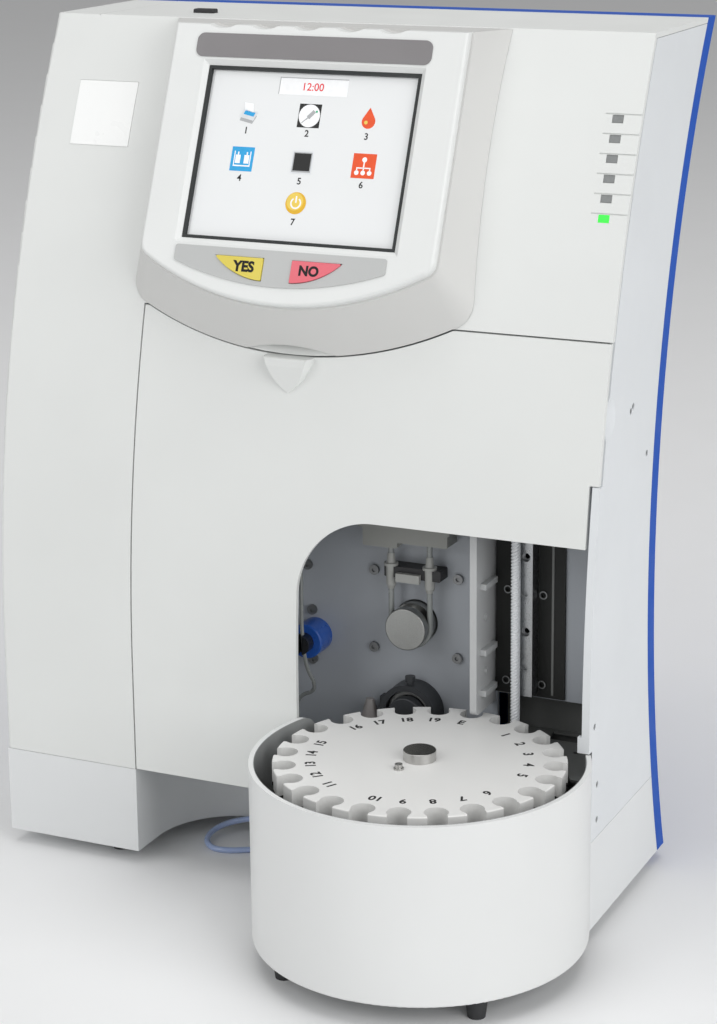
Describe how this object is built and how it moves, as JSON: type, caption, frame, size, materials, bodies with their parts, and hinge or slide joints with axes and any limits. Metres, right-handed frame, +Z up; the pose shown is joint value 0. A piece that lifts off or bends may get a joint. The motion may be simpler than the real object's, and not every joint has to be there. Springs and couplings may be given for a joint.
{
  "type": "electrolyte analyzer",
  "caption": "Bench electrolyte analyzer: leaning cabinet with a touch screen, a drop-down front door, a sampling bay with a lifting probe, and a drum with a notched sample disc.",
  "frame": {"origin": "on the bench, below the middle of the object's overall box", "axes": "+X to the right seen from the front, +Y to the rear, +Z up"},
  "size_m": [0.3946, 0.3515, 0.5125],
  "materials": {
    "shell_front": "fine-textured warm white moulding",
    "shell_side": "light grey powder coat",
    "plinth": "fine-textured light grey moulding",
    "cover_blue": "semi-gloss blue paint",
    "bezel": "satin warm grey moulding",
    "bezel_front": "satin white moulding",
    "panel_grey": "printed grey film",
    "panel_light": "printed light grey film",
    "frame_black": "matt black",
    "screen_glass": "glossy touch glass over a lit display",
    "module_metal": "plated sheet",
    "key_yellow": "satin yellow",
    "key_red": "satin red",
    "plate_white": "blank white label stock",
    "lens_grey": "smoky lens, the lowest one lit green",
    "board_green": "solder mask with dark chips",
    "rubber_dark": "dark rubber",
    "catch_black": "matt black",
    "sheet_zinc": "zinc-plated sheet",
    "cavity_grey": "blue-grey powder coat",
    "plate_black": "black powder coat",
    "rail_steel": "ground steel",
    "screw_steel": "rolled thread",
    "carriage_metal": "bead-blasted aluminium",
    "probe_steel": "polished stainless steel",
    "motor_metal": "dark plated can",
    "rotor_silver": "turned aluminium",
    "pump_dark": "dark grey moulding",
    "tube_grey": "soft translucent grey",
    "tube_clear": "soft clear tube",
    "hose_blue": "soft translucent blue",
    "ferrule_white": "natural white",
    "block_white": "machined natural plastic",
    "valve_blue": "blue moulding with a black nose",
    "cup_pink": "satin warm grey",
    "electrode_clear": "clear cast plastic",
    "pack_white": "blank white carton",
    "drum_white": "satin white moulding",
    "disc_white": "satin white moulding with black print",
    "hub_steel": "turned steel",
    "screw_dark": "blackened steel",
    "inlet_black": "black moulding with metal pins",
    "divider_white": "satin white moulding"
  },
  "bodies": {
    "cabinet": {"main_shell": "shell_front", "right_side_panel": "shell_side", "rear_cover": "cover_blue", "plinth_base": "plinth", "chassis_floor": "sheet_zinc", "side_screws": "screw_dark", "hinge_brackets": "sheet_zinc", "door_catch": "sheet_zinc", "cover_catch": "catch_black", "body_feet": "rubber_dark", "drum_feet": "rubber_dark", "bezel_housing": "bezel", "bezel_face": "bezel_front", "screen_frame": "frame_black", "touch_screen": "screen_glass", "display_module": "module_metal", "title_strip": "panel_grey", "membrane_panel": "panel_light", "name_plate": "plate_white", "status_lenses": "lens_grey", "led_board": "board_green", "main_board": "board_green", "drum_shell": "drum_white", "disc_motor": "motor_metal", "cavity_plate": "cavity_grey", "plate_screws": "screw_dark", "bay_floor": "plate_black", "divider_plate": "divider_white", "rail_plate": "plate_black", "linear_rail": "rail_steel", "screw_motor": "motor_metal", "pump_motors": "motor_metal", "pump_tube": "tube_clear", "waste_tube": "tube_grey", "drain_fittings": "ferrule_white", "tube_clamp": "catch_black", "tube_ferrules": "ferrule_white", "valve_block": "block_white", "pump_arch": "pump_dark", "pinch_valve": "valve_blue", "electrode_holder": "block_white", "electrodes": "electrode_clear", "reagent_pack": "pack_white", "sample_tube": "tube_clear", "wash_cup": "cup_pink", "power_supply": "sheet_zinc", "power_inlet": "inlet_black", "drain_hose": "hose_blue"},
    "door": {"front_door": "shell_front"},
    "sampler": {"sample_disc": "disc_white", "disc_column": "disc_white", "disc_hub": "hub_steel"},
    "lift": {"carriage": "carriage_metal", "sample_probe": "probe_steel"},
    "screw": {"lead_screw": "screw_steel"},
    "pump": {"pump_rotor": "rotor_silver"},
    "waste_pump": {"waste_rotor": "pump_dark"},
    "yes_button": {"yes_key": "key_yellow"},
    "no_button": {"no_key": "key_red"},
    "rocker": {"switch_rocker": "inlet_black"}
  },
  "joints": [
    {"name": "door_hinge", "type": "hinge", "parent": "cabinet", "child": "door", "pos_m": [-0.0503, -0.03325, 0.0686], "axis": [1, 0, 0], "range_deg": [0, 90]},
    {"name": "disc_spin", "type": "hinge", "parent": "cabinet", "child": "sampler", "pos_m": [0.1016, -0.08006, 0.111], "axis": [0, 0, 1], "continuous": true},
    {"name": "probe_lift", "type": "slide", "parent": "cabinet", "child": "lift", "axis": [0, 0, -1], "range_m": [0, 0.142]},
    {"name": "lead_screw_spin", "type": "hinge", "parent": "cabinet", "child": "screw", "pos_m": [0.1259, 0.00375, 0.2], "axis": [0, 0, 1], "range_deg": [0, 6395]},
    {"name": "pump_spin", "type": "hinge", "parent": "cabinet", "child": "pump", "pos_m": [0.0567, 0.01074, 0.162], "axis": [0, 1, 0], "continuous": true},
    {"name": "waste_pump_spin", "type": "hinge", "parent": "cabinet", "child": "waste_pump", "pos_m": [0.0562, 0.01074, 0.1075], "axis": [0, 1, 0], "continuous": true},
    {"name": "yes_press", "type": "slide", "parent": "cabinet", "child": "yes_button", "axis": [0, 0.9221, -0.387], "range_m": [0, 0.0006], "stiffness_N_per_m": 900},
    {"name": "no_press", "type": "slide", "parent": "cabinet", "child": "no_button", "axis": [0, 0.9221, -0.387], "range_m": [0, 0.0006], "stiffness_N_per_m": 900},
    {"name": "power_rocker", "type": "hinge", "parent": "cabinet", "child": "rocker", "pos_m": [0.0727, 0.0894, 0.09929], "axis": [1, 0, 0], "range_deg": [-10, 10]}
  ],
  "couplings": [
    {"joint": "lead_screw_spin", "follows": "probe_lift", "rad_per_m": 785.4}
  ]
}
